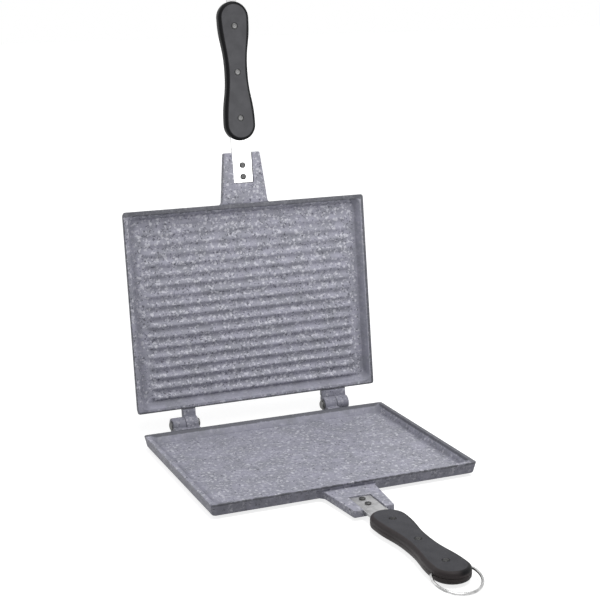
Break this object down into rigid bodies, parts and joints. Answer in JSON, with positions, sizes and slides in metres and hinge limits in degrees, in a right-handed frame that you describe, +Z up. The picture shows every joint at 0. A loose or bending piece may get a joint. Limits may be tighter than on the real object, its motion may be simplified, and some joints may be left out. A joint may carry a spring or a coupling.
{
  "type": "stovetop sandwich toaster",
  "caption": "Open stovetop sandwich toaster: two granite-coated cast plates hinged at the back, riveted handles and a wire locking ring.",
  "frame": {"origin": "on the surface that the toaster stands on, under the middle of the lower plate", "axes": "+Z up, +Y towards the hinge and -Y towards the lower handle, X along the hinge"},
  "size_m": [0.2428, 0.4663, 0.4058],
  "materials": {
    "granite_coating": "speckled blue-grey granite-look non-stick coating on cast aluminium",
    "black_bakelite": "moulded black phenolic plastic, satin faces with polished round edges",
    "strap_steel": "bright pressed steel strip",
    "rivet_steel": "plain steel rivets with low domed heads",
    "hinge_steel": "turned steel hinge pins and washers",
    "ring_wire": "bright plated steel wire"
  },
  "bodies": {
    "lower half": {"lower_plate": "granite_coating", "lower_strap": "strap_steel", "lower_handle_inner": "black_bakelite", "lower_handle_outer": "black_bakelite", "lower_strap_rivet_1": "rivet_steel", "lower_strap_rivet_2": "rivet_steel", "lower_handle_rivet_1": "rivet_steel", "lower_handle_rivet_2": "rivet_steel", "lower_handle_rivet_3": "rivet_steel", "hinge_pin_left": "hinge_steel", "hinge_pin_right": "hinge_steel", "hinge_washer_left": "hinge_steel", "hinge_washer_right": "hinge_steel"},
    "upper half": {"upper_plate": "granite_coating", "upper_strap": "strap_steel", "upper_handle_inner": "black_bakelite", "upper_handle_outer": "black_bakelite", "upper_strap_rivet_1": "rivet_steel", "upper_strap_rivet_2": "rivet_steel", "upper_handle_rivet_1": "rivet_steel", "upper_handle_rivet_2": "rivet_steel", "upper_handle_rivet_3": "rivet_steel"},
    "locking ring": {"locking_ring": "ring_wire"}
  },
  "joints": [
    {"name": "lid hinge", "type": "hinge", "parent": "lower half", "child": "upper half", "pos_m": [0, 0.10835, 0.014], "axis": [1, 0, 0], "range_deg": [0, 97.6]},
    {"name": "ring swing", "type": "hinge", "parent": "lower half", "child": "locking ring", "pos_m": [0, -0.2674, 0.0075], "axis": [-1, 0, 0], "range_deg": [0, 85]}
  ]
}
